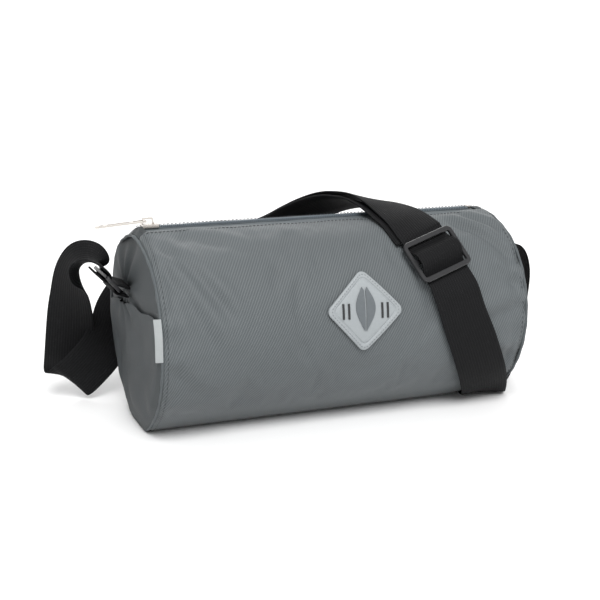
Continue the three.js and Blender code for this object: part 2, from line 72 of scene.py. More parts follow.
BAR_SIDES = 5             # sides of a stitch or a zip tooth
WEBBING_WIDTH = 0.038
SPLINE_STEPS = 6          # stations between two points of the strap's route
RETURN_FROM = 17          # the route point where the strap's second layer starts


def smooth(a, b, v):
    """Rises smoothly from 0 at a to 1 at b."""
    t = min(1.0, max(0.0, (v - a) / (b - a)))
    return t * t * (3 - 2 * t)


def bell(v, w):
    """A bump of height 1 at v = 0 and about w wide each way."""
    return math.exp(-(v / w) ** 2)


# ---- camera, light and floor -------------------------------------------------
def make_stage():
    cam = bpy.data.objects.new("camera", bpy.data.cameras.new("camera"))
    cam.data.lens, cam.data.sensor_width = 72, 36
    cam.data.clip_start = 0.01
    az, el = math.radians(-21.5), math.radians(13.1)
    back = Vector((math.sin(az) * math.cos(el), -math.cos(az) * math.cos(el), math.sin(el)))
    cam.location = (-0.3474, -0.8458, 0.2962)
    cam.rotation_mode = "QUATERNION"
    cam.rotation_quaternion = (-back).to_track_quat("-Z", "Y")
    bpy.context.collection.objects.link(cam)
    bpy.context.scene.camera = cam
    for name, place, size, power in (
        ("key", (-0.35, -1.0, 1.3), 0.8, 7),
        ("fill", (1.2, -0.9, 0.8), 1.0, 2),
        ("rim", (0.2, 1.0, 1.1), 0.9, 5),
    ):
        light = bpy.data.lights.new(name, "AREA")
        light.size, light.energy = size, power
        o = bpy.data.objects.new(name, light)
        o.location = place
        o.rotation_mode = "QUATERNION"
        o.rotation_quaternion = (Vector((0, 0, 0.07)) - Vector(place)).to_track_quat("-Z", "Y")
        bpy.context.collection.objects.link(o)
    sun = bpy.data.lights.new("window", "SUN")
    sun.energy, sun.angle = 2.2, math.radians(35)
    o = bpy.data.objects.new("window", sun)
    o.rotation_mode = "QUATERNION"
    o.rotation_quaternion = Vector((0.15, 0.75, -0.9)).to_track_quat("-Z", "Y")
    bpy.context.collection.objects.link(o)
    world = bpy.data.worlds.new("studio")
    world.use_nodes = True
    world.node_tree.nodes["Background"].inputs["Color"].default_value = (1, 1, 1, 1)
    world.node_tree.nodes["Background"].inputs["Strength"].default_value = 0.62
    bpy.context.scene.world = world
    bpy.context.scene.view_settings.view_transform = "Standard"

    def ground(u, v):
        run = -6 + 18 * v
        turn = min(max(run - 3, 0) / 2.5, math.pi / 2)
        rise = max(0, run - 3 - 2.5 * math.pi / 2)
        y, z = min(run, 3) + 2.5 * math.sin(turn), 2.5 * (1 - math.cos(turn)) + rise
        return (16 * u - 8, y, z - 0.0004)

    floor = grid_mesh("floor", 2, 90, ground)
    floor.data.materials.append(plain("floor_paint", (0.9, 0.9, 0.9), 0.9, 0.01, 300))


# ---- materials ---------------------------------------------------------------
class Mat:
    """A principled material with short ways to add stripes, noise, colour and bump."""

    def __init__(self, name, rough=0.8, metal=0.0, spec=0.4):
        self.m = bpy.data.materials.new(name)
        self.m.use_nodes = True
        self.t = self.m.node_tree
        self.b = self.t.nodes["Principled BSDF"]
        self.b.inputs["Roughness"].default_value = rough
        self.b.inputs["Metallic"].default_value = metal
        self.b.inputs["Specular IOR Level"].default_value = spec

    def node(self, kind, **sets):
        n = self.t.nodes.new(kind)
        for k, v in sets.items():
            setattr(n, k, v)
        return n

    def link(self, a, b):
        self.t.links.new(a, b)

    def math(self, op, a, b=None):
        n = self.node("ShaderNodeMath", operation=op)
        for i, v in enumerate((a, b)):
            if v is None:
                continue
            if isinstance(v, (int, float)):
                n.inputs[i].default_value = v
            else:
                self.link(v, n.inputs[i])
        return n.outputs[0]

    def uv(self):
        s = self.node("ShaderNodeSeparateXYZ")
        self.link(self.node("ShaderNodeUVMap").outputs[0], s.inputs[0])
        return s.outputs[0], s.outputs[1]

    def stripes(self, u, v, angle, pitch):
        k = 2 * math.pi / pitch
        a = self.math("MULTIPLY", u, k * math.cos(math.radians(angle)))
        b = self.math("MULTIPLY", v, k * math.sin(math.radians(angle)))
        wave = self.math("SINE", self.math("ADD", a, b))
        return self.math("MULTIPLY", self.math("ADD", wave, 1.0), 0.5)

    def noise(self, scale):
        n = self.node("ShaderNodeTexNoise")
        n.inputs["Scale"].default_value = scale
        n.inputs["Detail"].default_value = 3.0
        self.link(self.node("ShaderNodeTexCoord").outputs["Object"], n.inputs["Vector"])
        return n.outputs["Fac"]

    def colour(self, fac, dark, light):
        r = self.node("ShaderNodeValToRGB")
        r.color_ramp.elements[0].color = (*dark, 1)
        r.color_ramp.elements[1].color = (*light, 1)
        self.link(fac, r.inputs[0])
        self.link(r.outputs[0], self.b.inputs["Base Color"])

    def bump(self, height, distance, strength):
        n = self.node("ShaderNodeBump")
        n.inputs["Distance"].default_value = distance
        n.inputs["Strength"].default_value = strength
        self.link(height, n.inputs["Height"])
        self.link(n.outputs[0], self.b.inputs["Normal"])


def plain(name, colour, rough, grain, scale, metal=0.0, spec=0.4, distance=0.0001):
    m = Mat(name, rough, metal, spec)
    n = m.noise(scale)
    m.colour(n, [c * (1 - grain) for c in colour], [c * (1 + grain) for c in colour])
    m.bump(n, distance, 0.5)
    return m.m


def twill():
    m = Mat("twill", 0.62, 0, 0.35)
    u, v = m.uv()
    line = m.stripes(u, v, 28, 0.00185)
    cross = m.stripes(u, v, -62, 0.0011)
    weave = m.math("ADD", m.math("MULTIPLY", line, 0.75), m.math("MULTIPLY", cross, 0.25))
    mottled = m.math("ADD", m.math("MULTIPLY", weave, 0.8), m.math("MULTIPLY", m.noise(9), 0.35))
    m.colour(mottled, (0.044, 0.050, 0.053), (0.120, 0.134, 0.140))
    m.bump(weave, 0.00022, 0.8)
    m.b.inputs["Sheen Weight"].default_value = 0.15
    m.b.inputs["Sheen Roughness"].default_value = 0.4
    return m.m


def weave(name, dark, light, pitch, rough=0.8, distance=0.0001):
    m = Mat(name, rough, 0, 0.3)
    u, v = m.uv()
    a = m.stripes(u, v, 0, pitch)
    b = m.stripes(u, v, 90, pitch)
    checks = m.math("MULTIPLY", m.math("MULTIPLY", a, b), 0.8)
    w = m.math("ADD", checks, m.math("MULTIPLY", m.noise(30), 0.4))
    m.colour(w, dark, light)
    m.bump(w, distance, 0.8)
    return m.m


def webbing():
    m = Mat("webbing", 0.72, 0, 0.14)
    u, v = m.uv()
    rib = m.stripes(u, v, 0, 0.0021)
    pick = m.stripes(u, v, 75, 0.0013)
    w = m.math("ADD", m.math("MULTIPLY", rib, 0.6), m.math("MULTIPLY", pick, 0.4))
    m.colour(w, (0.0020, 0.0020, 0.0023), (0.0085, 0.0087, 0.0095))
    m.bump(w, 0.00028, 0.9)
    return m.m


# ---- mesh helpers ------------------------------------------------------------
def mesh_object(name, verts, faces, uvs):
    me = bpy.data.meshes.new(name)
    me.from_pydata([tuple(v) for v in verts], [], faces)
    layer = me.uv_layers.new(name="UVMap")
    for loop in me.loops:
        layer.data[loop.index].uv = uvs[loop.vertex_index]
    me.update()
    for p in me.polygons:
        p.use_smooth = True
    o = bpy.data.objects.new(name, me)
    bpy.context.collection.objects.link(o)
    return o


def grid_mesh(name, nu, nv, f, uv=None, wrap=False):
    cols = nu if wrap else nu + 1
    verts = [f(i / nu, j / nv) for j in range(nv + 1) for i in range(cols)]
    uv = uv or (lambda a, b: (a, b))
    uvs = [uv(i / nu, j / nv) for j in range(nv + 1) for i in range(cols)]
    faces = []
    for j in range(nv):
        for i in range(nu):
            k = (i + 1) % cols
            faces.append((j * cols + i, j * cols + k, (j + 1) * cols + k, (j + 1) * cols + i))
    return mesh_object(name, verts, faces, uvs)


def modify(o, kind, **sets):
    m = o.modifiers.new(kind.lower(), kind)
    for k, v in sets.items():
        setattr(m, k, v)
    return m


def apply_all(o):
    dg = bpy.context.evaluated_depsgraph_get()
    me = bpy.data.meshes.new_from_object(o.evaluated_get(dg))
    o.modifiers.clear()
    old = o.data
    o.data = me
    bpy.data.meshes.remove(old)


def thicken(o, thickness, levels=1, offset=-1):
    modify(o, "SOLIDIFY", thickness=thickness, offset=offset)
    if levels:
        modify(o, "SUBSURF", levels=levels, render_levels=levels)
    apply_all(o)
    for p in o.data.polygons:
        p.use_smooth = True


def finish_piece(o, material, slot, *nodes):
    o.data.materials.clear()
    o.data.materials.append(material)
    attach(o, "bag")
    if nodes:
        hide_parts(*nodes)


# ---- the barrel --------------------------------------------------------------
def floor_at(x):
    return 0.0047 * smooth(0.098, 0.120, x)


def barrel(x, angle, inset=0.0):
    """A point on the barrel: drawn in at both ends, flattened where it rests."""
    a = math.radians(angle)
    near = max(0.0, abs(x) - 0.136) / 0.008
    turn = abs(((angle + 180) % 360 + 360) % 360 - 180)
    folded = 1 - smooth(18, 58, turn)
    r = RADIUS - inset - near * near * (0.0008 + (0.0052 if x < 0 else 0.0022) * folded)
    y = -r * math.sin(a)
    sag = 0.0029 * (1 - smooth(0.020, 0.046, abs(y)))
    z = AXIS_HEIGHT + r * math.cos(a)
    return Vector((x, y, max(floor_at(x) + inset, z - sag) if math.cos(a) < 0 else z))


def crease(x, angle, x0, a0, x1, a1, width, depth):
    """Depth at (x, angle) of one fold that runs from (x0, a0) to (x1, a1); width is in mm."""
    p = ((x - x0) * 1000, (angle - a0) * MM_PER_DEGREE)
    d = ((x1 - x0) * 1000, (a1 - a0) * MM_PER_DEGREE)
    n = math.hypot(*d)
    along = (p[0] * d[0] + p[1] * d[1]) / n
    off = (p[0] * d[1] - p[1] * d[0]) / n
    fade = smooth(-6, 8, along) * (1 - smooth(n - 16, n + 8, along))
    return depth * fade * (bell(off, width) - 0.6 * bell(off - 1.9 * width, width))


# x and angle where each fold starts, x and angle where it ends, width in mm, depth
CREASES = (
    (-0.134, 26, -0.092, 78, 5, 0.0016),
    (-0.140, 40, -0.104, 96, 6, 0.0012),
    (-0.120, 16, -0.060, 40, 6, 0.0009),
    (-0.141, 100, -0.112, 122, 6, 0.0010),
    (0.098, 18, 0.136, 54, 4, 0.0019),
    (0.112, 14, 0.140, 36, 3.5, 0.0014),
    (0.116, 60, 0.143, 74, 5, 0.0013),
    (0.104, 92, 0.143, 84, 6, 0.0012),
    (0.086, 112, 0.140, 118, 7, 0.0012),
    (-0.100, -30, -0.040, -70, 7, 0.0012),
    (0.060, -24, 0.130, -60, 6, 0.0014),
    (-0.138, -50, -0.090, -90, 6, 0.0013),
    (0.090, -110, 0.142, -96, 6, 0.0011),
)


def calm(x, angle):
    """1 where the fabric is free, 0 under the patch."""
    px, pa = (x - PATCH_X) * 1000, (angle - PATCH_ANGLE) * MM_PER_DEGREE
    return smooth(34, 52, math.hypot(px, pa))


def wrinkle(x, angle):
    """How far the fabric is pushed in at (x, angle) by folds, unevenness and the end seams."""
    a = (angle + 180) % 360 - 180
    d = sum(crease(x, a, *c) for c in CREASES)
    broad = noise.noise(Vector((x * 16, a / 26, 0.3))) * 0.0011
    fine = noise.noise(Vector((x * 45, a / 11, 7.3))) * 0.00035
    end = smooth(0.112, 0.140, abs(x))
    pucker = end * 0.0007 * math.sin(math.radians(a) * 17 + 2.2 * math.sin(math.radians(a) * 5))
    under = smooth(120, 150, abs(a))
    return (1.9 * d - 1.7 * broad - fine + pucker) * calm(x, a) * (1 - under)


def simulate(o, pinned, frames=16, pressure=1.4, shrink=-0.012):
    group = o.vertex_groups.new(name="pin")
    for i, w in enumerate(pinned):
        group.add([i], w, "REPLACE")
    cloth = o.modifiers.new("cloth", "CLOTH")
    s = cloth.settings
    s.quality, s.mass = 5, 0.25
    s.tension_stiffness = s.compression_stiffness = 18
    s.bending_stiffness = 1.2
    s.vertex_group_mass = "pin"
    s.use_pressure, s.uniform_pressure_force = True, pressure
    s.shrink_min = shrink
    s.effector_weights.gravity = 0
    cloth.collision_settings.use_collision = False
    scene = bpy.context.scene
    scene.frame_start, scene.frame_end = 1, frames
    cloth.point_cache.frame_start, cloth.point_cache.frame_end = 1, frames
    for f in range(1, frames + 1):
        scene.frame_set(f)
    apply_all(o)
    scene.frame_set(1)


def make_shell():
    """The barrel's fabric: blown out as cloth, then creased."""
    nx, na = 96, 132
    a0, a1 = MOUTH_ANGLE, 360 - MOUTH_ANGLE
    xs = [-END_X + 2 * END_X * j / nx for j in range(nx + 1)]

    def at(u, v):
        x, a = -END_X + 2 * END_X * v, a0 + (a1 - a0) * u
        return barrel(x, a, 0.0006)

    def uv(u, v):
        return (2 * END_X * v, math.radians(a0 + (a1 - a0) * u) * RADIUS)

    o = grid_mesh("barrel_cloth", na, nx, at, uv)
    rest = np.array([v.co[:] for v in o.data.vertices])
    pins = []
    for j in range(nx + 1):
        for i in range(na + 1):
            a = a0 + (a1 - a0) * i / na
            edge = min(i, na - i, j * 1.5, (nx - j) * 1.5)
            under = smooth(130, 152, abs((a + 180) % 360 - 180))
            pins.append(max(1 - smooth(0, 4, edge), under, 1 - calm(xs[j], a)))
    simulate(o, pins)
    moved = np.array([v.co[:] for v in o.data.vertices])
    for j in range(nx + 1):
        for i in range(na + 1):
            k = j * (na + 1) + i
            a = a0 + (a1 - a0) * i / na
            base = Vector(rest[k])
            out = Vector((0, -math.sin(math.radians(a)), math.cos(math.radians(a))))
            d = Vector(moved[k] - rest[k]) * (1 - pins[k])
            push = max(PUSH_IN, min(PUSH_OUT, d.dot(out)))
            slip = d - out * d.dot(out)
            if slip.length > SLIP_LIMIT:
                slip *= SLIP_LIMIT / slip.length
            fold = 0.0007 * bell((min(i, na - i) * (a1 - a0) / na * MM_PER_DEGREE - 2.6), 1.0)
            co = base + slip + out * max(DEEPEST_CREASE, push - wrinkle(xs[j], a) - fold)
            if abs(a - 180) < 60:
                co.z = max(co.z, floor_at(xs[j]) + 0.0002)
            o.data.vertices[k].co = co
    thicken(o, 0.0014)
    finish_piece(o, TWILL, "twill", "main_panel")


def make_lining():
    def at(u, v):
        slack = 0.0064 + 0.0008 * noise.noise(Vector((v * 14, u * 20, 1)))
        return barrel(-0.139 + 0.278 * v, 14 + 332 * u, slack)

    o = grid_mesh("lining_cloth", 90, 40, at, lambda u, v: (v * 0.28, u * 0.43))
    thicken(o, 0.0005, 0)
    finish_piece(o, LINING, "lining", "lining", "seam_binding_left", "seam_binding_right")


# ---- the ends ----------------------------------------------------------------
def end_x(side, y, z):
    """How far the end panel stands off its seam plane at (y, z)."""
    q = min(1.0, math.hypot(y, z - AXIS_HEIGHT) / 0.074)
    out = 0.0030 * (1 - q * q)
    dy, dz = y - 0.015, z - 0.101
    d, phi = math.hypot(dy, dz), math.atan2(dz, dy)
    fade = bell(d, 0.042) * smooth(0.003, 0.014, d) * (1 - smooth(0.86, 1.0, q))
    out += 0.0017 * fade * math.sin(9 * phi + 1.5 * math.sin(2 * phi))
    out -= 0.0014 * bell(d, 0.008)
    folds = 0.0010 * math.sin(y * 190 + 9 * noise.noise(Vector((y * 12, z * 18, 2)))) * bell(z - 0.035, 0.035)
    out += folds * (1 - smooth(0.8, 1.0, q))
    if side < 0:
        out -= 0.0048 * bell(y - 0.012, 0.026) * bell(z - 0.139, 0.012) * (1 - smooth(0.93, 1.0, q))
    else:
        out -= 0.0018 * bell(y - 0.01, 0.03) * bell(z - 0.138, 0.012) * (1 - smooth(0.93, 1.0, q))
    out += 0.0008 * noise.noise(Vector((y * 40, z * 40, side * 3))) * (1 - q)
    return side * (END_X + 0.0006 + out)


def make_ends():
    for side, name in ((-1, "left"), (1, "right")):
        n, rings = 112, 34

        def at(u, v, side=side):
            p = barrel(side * END_X, 360 * u, 0.0004)
            k = max(v, 0.002) ** 0.9
            y, z = p.y * k, AXIS_HEIGHT + (p.z - AXIS_HEIGHT) * k
            return (end_x(side, y, z), y, z)

        def uv(u, v, side=side):
            p = at(u, v)
            return (p[1], p[2])

        o = grid_mesh(f"end_{name}_cloth", n, rings, at, uv, wrap=True)
        if side < 0:
            o.data.flip_normals()
        thicken(o, 0.0012)
        finish_piece(o, PLAIN, "end_fabric", f"end_panel_{name}")

        def roll(u, v, side=side):
            a = 360 * u
            p = barrel(side * END_X, a, 0.0002)
            out = Vector((0, -math.sin(math.radians(a)), math.cos(math.radians(a))))
            lumps = 0.0003 * noise.noise(Vector((u * 22, side, 0)))
            r = 0.00125 + 0.00018 * math.sin(math.radians(a) * 31) + lumps
            t = 2 * math.pi * v
            q = p + out * (r * math.cos(t) - 0.0007) + Vector((side * (r * math.sin(t) + 0.0004), 0, 0))
            q.z = max(q.z, 0.0001)
            return q

        seam = grid_mesh(f"end_seam_{name}", 180, 10, roll, lambda u, v: (u * 0.47, v * 0.008), wrap=True)
        finish_piece(seam, SEAM, "twill")
        threads(f"end_stitching_{name}", [stitch_end(side, k / 120) for k in range(120)], 0.00022, THREAD)


def stitch_end(side, u):
    p = barrel(side * (END_X - 0.0034), 360 * u, -0.0003)
    q = barrel(side * (END_X - 0.0034), 360 * u + 1.7, -0.0003)
    return (p, q)


def bar_faces(first, rings, flip=False):
    """Faces of a closed bar whose rings of BAR_SIDES vertices start at vertex first."""
    faces = []
    for r in range(rings - 1):
        low = first + r * BAR_SIDES
        for i in range(BAR_SIDES):
            j = (i + 1) % BAR_SIDES
            faces.append((low + i, low + j, low + BAR_SIDES + j, low + BAR_SIDES + i))
    start = tuple(first + i for i in range(BAR_SIDES))
    stop = tuple(first + (rings - 1) * BAR_SIDES + i for i in range(BAR_SIDES))
    if flip:
        return [*faces, start, stop[::-1]]
    return [*faces, start[::-1], stop]


def threads(name, spans, radius, material, slot="lining"):
    """Short stitches, each a low rounded bar between two points."""
    verts, faces = [], []
    for p, q in spans:
        p, q = Vector(p), Vector(q)
        t = (q - p).normalized()
        a = t.cross(Vector((0, 0, 1)) if abs(t.z) < 0.9 else Vector((1, 0, 0))).normalized()
        b = t.cross(a)
        n0 = len(verts)
        for s, k in ((0.0, 0.35), (0.2, 1.0), (0.8, 1.0), (1.0, 0.35)):
            c = p.lerp(q, s)
            for i in range(BAR_SIDES):
                w = 2 * math.pi * i / BAR_SIDES
                verts.append(c + (a * math.cos(w) + b * math.sin(w)) * radius * k)
        faces += bar_faces(n0, 4)
    o = mesh_object(name, verts, faces, [(v.x, v.y + v.z) for v in verts])
    finish_piece(o, material, slot)


def make_pocket():
    def top(s):
        return (-s * 0.069, 0.0905 + 0.006 * s + 0.0035 * (1 - s * s) + 0.0012 * math.sin(s * 9))

    def at(u, v):
        s = 1 - 2 * u
        rim = barrel(-END_X, 180 - s * 103, 0.0006)
        ty, tz = top(s)
        y, z = ty + (rim.y - ty) * v, tz + (rim.z - tz) * v
        lift = 0.0016 * (1 - smooth(0.88, 1.0, v)) + 0.0011 * bell(v, 0.05)
        sag = 0.0013 * math.sin(s * 8 + 1) * math.sin(math.pi * min(1, v * 1.1)) * (1 - smooth(0.75, 1, v))
        return (max(end_x(-1, y, z) - lift - sag - 0.0004, -0.1545), y, z)

    o = grid_mesh("end_pocket_cloth", 70, 44, at, lambda u, v: (at(u, v)[1], at(u, v)[2]))
    o.data.flip_normals()
    thicken(o, 0.0009)
    finish_piece(o, PLAIN, "end_fabric", "end_pocket_left")
    spans = []
    for k in range(46):
        p = Vector(at((k + 0.1) / 46, 0.045)) + Vector((-0.0005, 0, 0))
        q = Vector(at((k + 0.75) / 46, 0.045)) + Vector((-0.0005, 0, 0))
        spans.append((p, q))
    threads("pocket_stitching", spans, 0.0003, THREAD)


# ---- the zip -----------------------------------------------------------------
def make_zip():
    for name, s in (("front", 1), ("rear", -1)):
        def at(u, v, s=s):
            x = -0.1405 + 0.281 * v
            w = 0.0003 * noise.noise(Vector((x * 60, s, u * 2)))
            return barrel(x, s * (0.75 + 11.9 * u), 0.0021 + 0.0006 * u - w)
        o = grid_mesh(f"zip_tape_{name}_cloth", 14, 120, at, lambda u, v: (v * 0.28, u * 0.016))
        if s > 0:
            o.data.flip_normals()
        thicken(o, 0.0007, 0, offset=1 if s < 0 else -1)
        finish_piece(o, TAPE, "zip_tape", f"zip_tape_{name}")
        teeth(name, s)
        spans = []
        for k in range(92):
            x = -0.139 + 0.003 * k
            wob = 0.35 * math.sin(k * 0.35) + 0.2 * math.sin(k * 0.9)
            p, q = barrel(x, s * (12.4 + wob), -0.0001), barrel(x + 0.0021, s * (12.4 + wob), -0.0001)
            spans.append((p, q))
        threads(f"zip_stitching_{name}", spans, 0.00028, THREAD)
    for side, x0, x1 in (("left", -0.1440, -0.1375), ("right", 0.1335, 0.1440)):
        def tab(u, v, x0=x0, x1=x1):
            x = x0 + (x1 - x0) * v
            pinch = 0.0009 * math.sin(u * 9 + v * 4) * math.sin(math.pi * u)
            return barrel(x, -9.5 + 19 * u, -0.0002 + 0.0005 * (2 * u - 1) ** 2 - pinch * 0.6)
        o = grid_mesh(f"zip_end_{side}_cloth", 24, 12, tab, lambda u, v: (v * 0.01, u * 0.023))
        thicken(o, 0.0011)
        finish_piece(o, PLAIN, "end_fabric", f"zip_end_tab_{side}")


TOOTH = (
    (3.7, -1.6, 0.30), (3.3, -0.5, 0.42), (2.4, 0.0, 0.46),
    (1.2, 0.0, 0.46), (0.35, -0.35, 0.5), (-0.15, -1.1, 0.42),
)


def teeth(name, s):
    """One half of the zip's coil: a row of hooked teeth, in millimetres from the coil's top."""
    lo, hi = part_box(f"zip_coil_{name}")
    verts, faces = [], []
    pitch = 0.00152
    count = int((hi.x - lo.x) / pitch)
    top = hi.z - 0.0001
    for k in range(count):
        x = lo.x + pitch * (k + (0.5 if s > 0 else 0.0))
        n0 = len(verts)
        for y, z, h in TOOTH:
            for dx, dz in ((-h, -0.55), (h, -0.55), (h * 0.9, -0.08), (0, 0.1), (-h * 0.9, -0.08)):
                verts.append(Vector((x + dx / 1000, -s * y / 1000, top + (z + dz) / 1000)))
        faces += bar_faces(n0, len(TOOTH), flip=True)
    o = mesh_object(f"zip_teeth_{name}", verts, faces, [(v.x, v.y) for v in verts])
    finish_piece(o, COIL, "zip_coil", f"zip_coil_{name}")


# ---- the patch ---------------------------------------------------------------
def on_front(right, up, off):
    """A point on the patch's own axes, wrapped on to the barrel's front."""
    px = right * math.cos(PATCH_TURN) - up * math.sin(PATCH_TURN)
    py = right * math.sin(PATCH_TURN) + up * math.cos(PATCH_TURN)
    return barrel(PATCH_X + px, PATCH_ANGLE - math.degrees(py / RADIUS), -off)


def diamond(u):
    """The patch's outline, a square on its corner with rounded corners."""
    half, corner = 0.022, 0.005
    side, t = int(u * 4) % 4, u * 4 - int(u * 4)
    flat = half - corner
    d = t * (2 * flat + math.pi / 2 * corner)
    x, y = half, -flat + d
    if d > 2 * flat:
        a = (d - 2 * flat) / corner
        x, y = flat + corner * math.cos(a), flat + corner * math.sin(a)
    turn = side * math.pi / 2 + math.pi / 4
    return x * math.cos(turn) - y * math.sin(turn), x * math.sin(turn) + y * math.cos(turn)


def make_patch():
    prof = ((0.0, 1.3), (0.3, 1.3), (0.6, 1.3), (0.76, 1.3), (0.785, 1.25), (0.80, 0.8), (0.83, 0.8),
            (0.845, 1.5), (0.87, 1.75), (0.95, 1.75), (0.985, 1.5), (1.0, 0.9), (1.0, 0.1))

    def at(u, v):
        k = int(round(v * (len(prof) - 1)))
        x, y = diamond(u)
        return on_front(x * prof[k][0], y * prof[k][0], 0.0006 + prof[k][1] / 1000)

    o = grid_mesh("patch_moulding", 128, len(prof) - 1, at, lambda u, v: diamond(u), wrap=True)
    o.data.flip_normals()
    modify(o, "SUBSURF", levels=1, render_levels=1)
    apply_all(o)
    finish_piece(o, RUBBER, "patch_rubber", "patch_plate")
    spans = []
    for k in range(64):
        (x0, y0), (x1, y1) = diamond((k + 0.2) / 64), diamond((k + 0.72) / 64)
        spans.append((on_front(x0 * 0.91, y0 * 0.91, 0.0024), on_front(x1 * 0.91, y1 * 0.91, 0.0024)))
    threads("patch_stitching", spans, 0.00027, PATCH_THREAD, "patch_emblem")


# ---- webbing -----------------------------------------------------------------
def catmull(pts, steps):
    """Points along a smooth curve through pts, steps to each gap."""
    out = []
    for i in range(len(pts) - 1):
        p = [pts[min(len(pts) - 1, max(0, k))] for k in (i - 1, i, i + 1, i + 2)]
        for k in range(steps):
            t = k / steps
            out.append([0.5 * (2 * b + (c - a) * t + (2 * a - 5 * b + 4 * c - d) * t * t
                               + (3 * b - a - 3 * c + d) * t ** 3) for a, b, c, d in zip(*p)])
    out.append(list(pts[-1]))
    return out


def frames_of(path):
    """Centre, width direction and normal at each station of a route given in mm."""
    out = []
    for i, p in enumerate(path):
        a, b = Vector(path[max(0, i - 1)][:3]), Vector(path[min(len(path) - 1, i + 1)][:3])
        t = (b - a).normalized()
        w = Vector(p[3:6])
        w = (w - t * w.dot(t)).normalized()
        out.append((Vector(p[:3]) / 1000, w, t.cross(w).normalized()))
    return out


SECTION = ((-1, -0.25), (-0.985, -0.5), (-0.5, -0.5), (0, -0.5), (0.5, -0.5), (0.985, -0.5),
           (1, -0.25), (1, 0.25), (0.985, 0.5), (0.5, 0.5), (0, 0.5), (-0.5, 0.5), (-0.985, 0.5), (-1, 0.25))


def band(name, frames, width, thickness):
    verts, uvs, faces = [], [], []
    run, n = 0.0, len(SECTION)
    for i, (c, w, m) in enumerate(frames):
        run += (c - frames[i - 1][0]).length if i else 0.0
        for a, b in SECTION:
            verts.append(c + w * (a * width / 2) + m * (b * thickness))
            uvs.append((a * width / 2, run))
    for i in range(len(frames) - 1):
        for k in range(n):
            j = (k + 1) % n
            faces.append((i * n + k, i * n + j, (i + 1) * n + j, (i + 1) * n + k))
    e = len(verts) - n
    faces.append(tuple(reversed(range(n))))
    faces.append(tuple(e + k for k in range(n)))
    return mesh_object(name, verts, faces, uvs)


# The strap's route in mm, each point followed by the direction of the webbing's width.
LEFT_LOOP = (
    (-166, 15.4, 120, 0, -1, 0), (-170.5, 19, 123, -0.03, -1, 0), (-175, 27, 122.5, 0.02, -1, 0),
    (-178.5, 38, 118, 0.1, -0.97, 0), (-180, 50, 109, 0.25, -0.93, 0), (-180, 61, 97, 0.45, -0.85, 0),
    (-179, 71, 82, 0.65, -0.72, 0), (-178.5, 80, 66, 0.85, -0.5, 0), (-179, 86, 48, 0.93, -0.36, 0),
    (-180.5, 87, 31, 0.9, -0.3, -0.2), (-182, 82, 19, 0.78, -0.14, -0.6),
    (-179.5, 73, 18, 0.72, -0.02, -0.69),
    (-168, 71, 28, 0.68, 0, -0.73), (-156, 73, 40, 0.68, -0.05, -0.73), (-146, 79, 54, 0.74, -0.08, -0.66),
    (-138, 87, 68, 0.8, -0.12, -0.55), (-124, 97, 80, 0.7, 0, -0.7), (-96, 101, 90, 0.55, 0.1, -0.83),
    (-60, 96, 102, 0.52, 0.3, -0.8), (-16, 68, 127, 0.55, 0.42, -0.72), (0.6, 58, 138.5, 0.56, 0.48, -0.68),
    (11.6, 50.2, 146.6, 0.58, 0.54, -0.62), (23.8, 42, 153.3, 0.62, 0.58, -0.53),
    (35.4, 32, 157.5, 0.68, 0.6, -0.4), (45.5, 18, 159.2, 0.76, 0.57, -0.28),
    (52.5, 1.7, 158, 0.85, 0.51, -0.12), (57, -15, 154.6, 0.9, 0.43, 0.03), (60, -32, 150, 0.92, 0.35, 0.15),
)
DOWN = (
    (81, -79, 97, 0.9, 0.08, 0.42), (88, -79, 78, 0.87, 0.02, 0.49), (96, -77.4, 60.5, 0.86, -0.1, 0.5),
    (105, -72, 42.8, 0.84, -0.2, 0.5), (115, -62, 26.3, 0.84, -0.3, 0.44),
    (125, -47.2, 12.2, 0.9, -0.28, 0.3),
    (133, -30, 2.6, 0.95, -0.3, 0), (141, -13, 1.2, 0.9, -0.4, 0), (152, 3, 1.2, 0.75, -0.66, 0),
    (163, 11, 2.8, 0.55, -0.83, 0), (172, 14, 12, 0.3, -0.95, 0), (178, 14, 34, 0.14, -0.99, 0),
    (184, 12, 60, 0.06, -1, 0), (188, 11.5, 88, 0, -1, 0), (187, 14, 104, 0, -1, 0),
    (182.5, 15, 113, 0, -1, 0), (176, 15, 115.5, 0, -1, 0),
)
GLIDE_AT = Vector((70.6, -63.8, 126.5))
GLIDE_ALONG = Vector((0.319, -0.566, -0.761)).normalized()
GLIDE_ACROSS = Vector((0.93, 0.2, 0.3))
GLIDE_ACROSS = (GLIDE_ACROSS - GLIDE_ALONG * GLIDE_ACROSS.dot(GLIDE_ALONG)).normalized()
GLIDE_OUT = GLIDE_ALONG.cross(GLIDE_ACROSS).normalized()
# The strap's way through the tri-glide: mm along it, mm off its face.
THREADED = ((-24, -3.6), (-19.5, -3.1), (-15.5, -2.95), (-12.6, -2.7), (-9, -0.5), (-5.6, 3.3), (-2.4, 5.1),
            (2.4, 5.1), (5.6, 3.3), (9, -0.5), (12.6, -2.8), (17, -2.95), (21.5, -2.6))
RINGS = {"left": ((-157.5, 105), (-0.65, 0.76)), "right": ((157.5, 102), (0.85, 0.53))}


def on_glide(s, h):
    return [*(GLIDE_AT + GLIDE_ALONG * s + GLIDE_OUT * h), *GLIDE_ACROSS]


def ring_bend(side):
    (ix, iz), (ox, oz) = RINGS[side]
    base = math.atan2(oz, ox)
    pts = []
    for k in range(7):
        a = base + math.radians(90 + 30 * k)
        pts.append([ix + ox * 12.8 + 3.2 * math.cos(a), 15, iz + oz * 12.8 + 3.2 * math.sin(a), 0, -1, 0])
    return pts, [ox, 0, oz]


